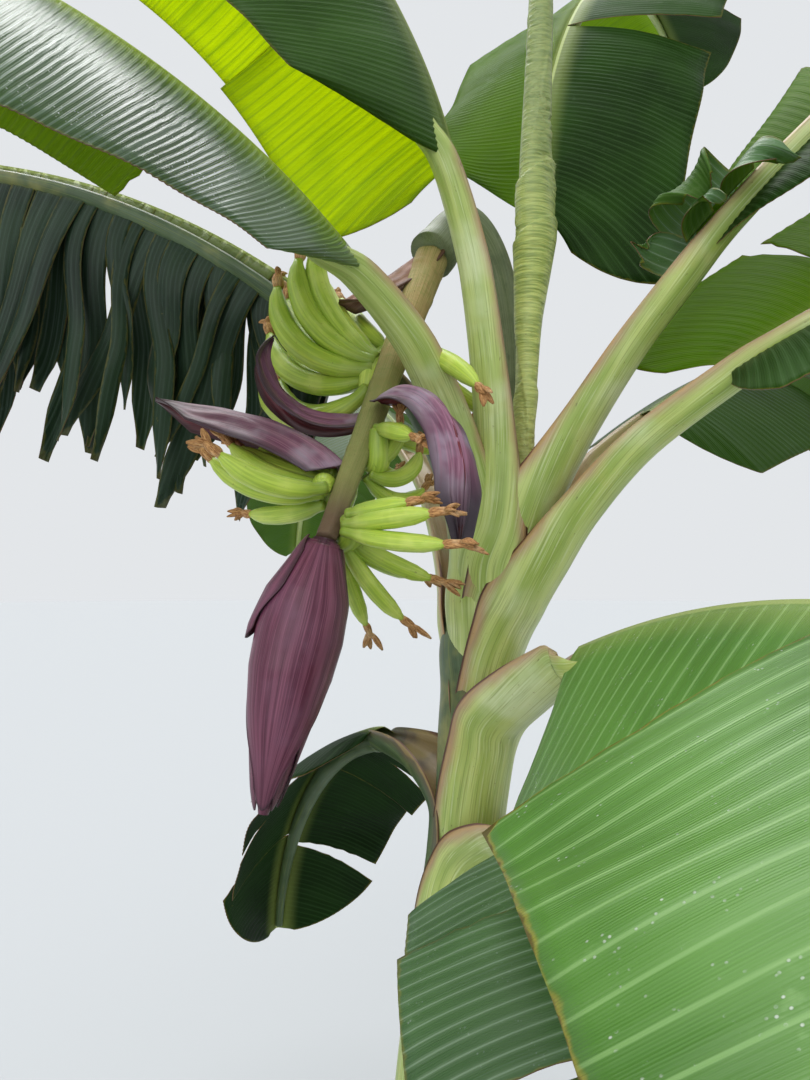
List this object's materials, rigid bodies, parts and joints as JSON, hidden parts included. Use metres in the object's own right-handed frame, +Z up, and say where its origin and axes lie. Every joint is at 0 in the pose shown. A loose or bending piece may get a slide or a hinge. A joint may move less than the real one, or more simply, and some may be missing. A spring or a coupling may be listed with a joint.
{
  "type": "banana plant",
  "caption": "Dwarf fruiting banana plant: a leaning pseudostem, broad arching leaves torn along their veins, a rolled young leaf, and a hanging bunch of green fruit above a purple bud",
  "frame": {"origin": "on the ground, at the middle of the flat cut under the pseudostem", "axes": "+Z up; +X to the right and +Y away, seen from the side the bunch hangs on"},
  "size_m": [3.0028, 3.0468, 2.9603],
  "materials": {
    "sheath": "satin",
    "leaf_stalk": "satin",
    "fruit_stalk": "matte",
    "leaf": "satin",
    "young_leaf": "satin",
    "fruit": "satin",
    "bud": "satin",
    "bract": "matte",
    "dry_bract": "matte"
  },
  "bodies": {
    "root": {"bract_dry": "dry_bract", "bract_left": "bract", "bract_right": "bract", "bract_small": "bract", "bud": "bud", "fruit_stalk_lower": "fruit_stalk", "fruit_stalk_upper": "leaf_stalk", "hand_bottom": "fruit", "hand_left": "fruit", "hand_right": "fruit", "hand_top": "fruit", "hand_top_back": "fruit", "leaf_10_blade_inner": "leaf", "leaf_10_blade_outer": "leaf", "leaf_10_stalk": "leaf_stalk", "leaf_11_blade_inner": "leaf", "leaf_11_blade_outer": "leaf", "leaf_11_stalk": "leaf_stalk", "leaf_1_blade_inner": "leaf", "leaf_1_blade_outer": "leaf", "leaf_1_stalk": "leaf_stalk", "leaf_2_blade_inner": "leaf", "leaf_2_blade_outer": "leaf", "leaf_2_stalk": "leaf_stalk", "leaf_3_blade_inner": "leaf", "leaf_3_blade_outer": "leaf", "leaf_3_stalk": "leaf_stalk", "leaf_4_blade_inner": "leaf", "leaf_4_blade_outer": "leaf", "leaf_4_stalk": "leaf_stalk", "leaf_5_blade_inner": "leaf", "leaf_5_blade_outer": "leaf", "leaf_5_stalk": "leaf_stalk", "leaf_6_blade_inner": "leaf", "leaf_6_blade_outer": "leaf", "leaf_6_stalk": "leaf_stalk", "leaf_7_blade_inner": "leaf", "leaf_7_blade_outer": "leaf", "leaf_7_stalk": "leaf_stalk", "leaf_8_blade_inner": "leaf", "leaf_8_blade_outer": "leaf", "leaf_8_stalk": "leaf_stalk", "leaf_9_blade_inner": "leaf", "leaf_9_blade_outer": "leaf", "leaf_9_stalk": "leaf_stalk", "rolled_leaf": "young_leaf", "trunk": "sheath"}
  },
  "joints": []
}
